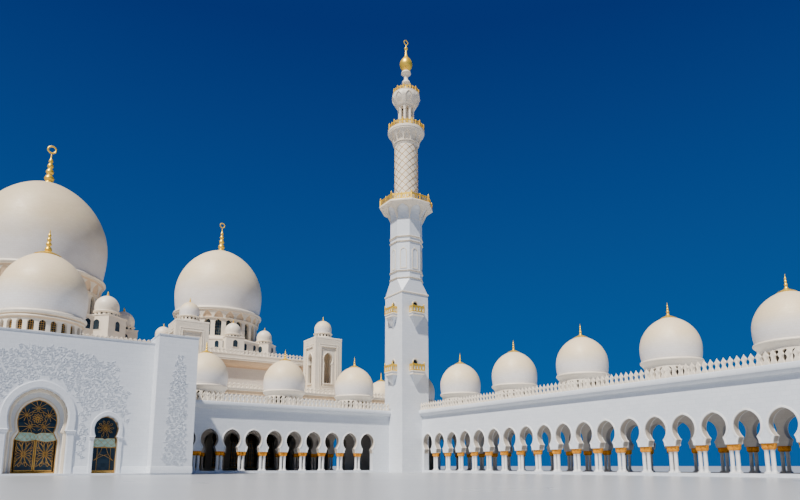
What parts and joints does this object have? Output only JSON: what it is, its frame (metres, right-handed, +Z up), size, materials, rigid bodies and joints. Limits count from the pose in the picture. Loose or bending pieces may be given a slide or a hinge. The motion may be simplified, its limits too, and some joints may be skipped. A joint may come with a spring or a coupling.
{
  "type": "1:10 scale model of a domed courtyard mosque",
  "caption": "Domed courtyard mosque at 1:10: a prayer hall under bulbous domes, keyhole arcades meeting at a corner with a tall tapering minaret, and a portal with hinged doors.",
  "frame": {"origin": "centre of the plan's bounding box, on the level floor under the building", "axes": "+Z up; +X along the north arcade, away from the prayer hall and the minaret; +Y from the portal along the west arcade to the north"},
  "size_m": [18.665, 11.325, 10.5966],
  "materials": {
    "white_stone": "honed cool white stone cladding",
    "dome_stone": "smooth warm white stone mosaic",
    "gilt": "polished gold leaf",
    "dark_glass": "dark tinted glazing",
    "door_bronze": "gilt bronze frame over dark glass"
  },
  "bodies": {
    "building": {"north_front_arcade_1": "white_stone", "north_front_arcade_2": "white_stone", "north_front_arcade_3": "white_stone", "north_back_arcade_1": "white_stone", "north_back_arcade_2": "white_stone", "north_back_arcade_3": "white_stone", "north_end_wall": "white_stone", "far_gallery_walls": "white_stone", "north_roof_with_domes": "dome_stone", "west_front_arcade_1": "white_stone", "west_front_arcade_2": "white_stone", "west_inner_arcade_1": "white_stone", "west_inner_arcade_2": "white_stone", "west_roof_with_domes": "dome_stone", "minaret_square_shaft": "white_stone", "minaret_octagon_and_balcony": "white_stone", "minaret_round_shaft_and_balcony": "white_stone", "minaret_lantern": "white_stone", "minaret_finial": "gilt", "portal_wall": "white_stone", "portal_screen": "dark_glass", "side_screen_north": "dark_glass", "side_screen_south": "dark_glass", "pylon_north": "white_stone", "pylon_south": "white_stone", "portal_roof": "white_stone", "hall_east_wall": "white_stone", "hall_west_wall": "white_stone", "hall_north_wall": "white_stone", "hall_south_wall": "white_stone", "hall_east_glass": "dark_glass", "hall_north_glass": "dark_glass", "hall_west_glass": "dark_glass", "hall_roof": "white_stone", "terrace_roof": "white_stone", "terrace_north_wall": "white_stone", "main_dome_base": "white_stone", "main_dome_drum": "white_stone", "main_dome_shell": "dome_stone", "main_dome_finial": "gilt", "flank_dome_base": "white_stone", "flank_dome_drum": "white_stone", "flank_dome_shell": "dome_stone", "flank_dome_finial": "gilt", "front_dome_drum": "white_stone", "front_dome_shell": "dome_stone", "front_dome_finial": "gilt", "pavilion_tower_1": "white_stone", "pavilion_tower_2": "white_stone", "floor_plate": "white_stone"},
    "north_leaf": {"door_leaf_north": "door_bronze"},
    "south_leaf": {"door_leaf_south": "door_bronze"}
  },
  "joints": [
    {"name": "north_leaf_hinge", "type": "hinge", "parent": "building", "child": "north_leaf", "pos_m": [1.4175, -2.8635, 0.28], "axis": [0, 0, -1], "range_deg": [0, 90]},
    {"name": "south_leaf_hinge", "type": "hinge", "parent": "building", "child": "south_leaf", "pos_m": [1.4175, -3.3615, 0.28], "axis": [0, 0, 1], "range_deg": [0, 90]}
  ]
}
